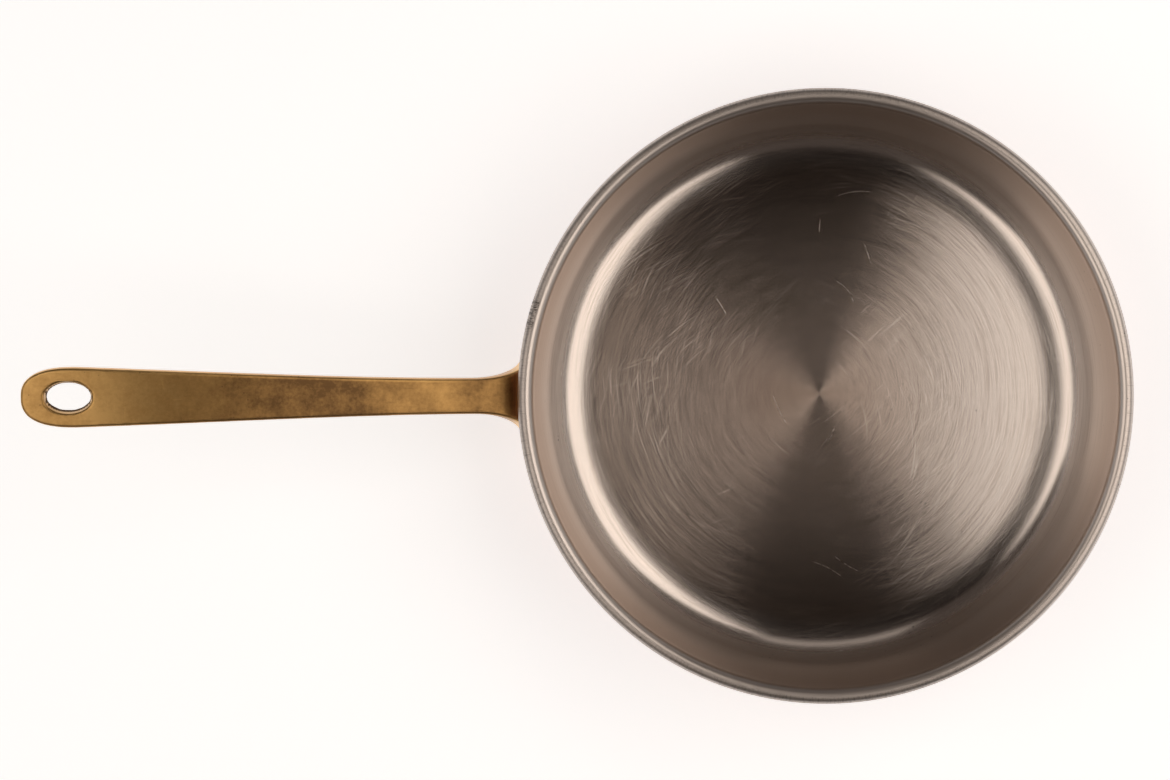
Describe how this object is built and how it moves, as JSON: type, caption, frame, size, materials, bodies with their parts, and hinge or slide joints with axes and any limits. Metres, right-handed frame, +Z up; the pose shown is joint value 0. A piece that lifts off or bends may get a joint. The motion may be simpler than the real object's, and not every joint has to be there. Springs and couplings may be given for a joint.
{
  "type": "saucepan",
  "caption": "Low straight-sided copper saucepan with a steel lining rolled over its rim and a long cast brass handle with a hanging eye.",
  "frame": {"origin": "centre of the flat underside, on the pan's own axis", "axes": "+Z up out of the pan's mouth; the handle runs along -X and +Y is to the right of someone who looks along the handle from its tip"},
  "size_m": [0.4319, 0.24, 0.0974],
  "materials": {
    "copper": null,
    "steel": "satin, brushed in circles, with fine use scratches",
    "brass": "cast brass, dull brown-gold patina, brighter at the neck and the eye",
    "rivet": null
  },
  "bodies": {
    "root": {"copper_shell": "copper", "steel_lining": "steel", "brass_handle": "brass", "rivet_left": "rivet", "rivet_right": "rivet", "rivet_lower": "rivet"}
  },
  "joints": []
}
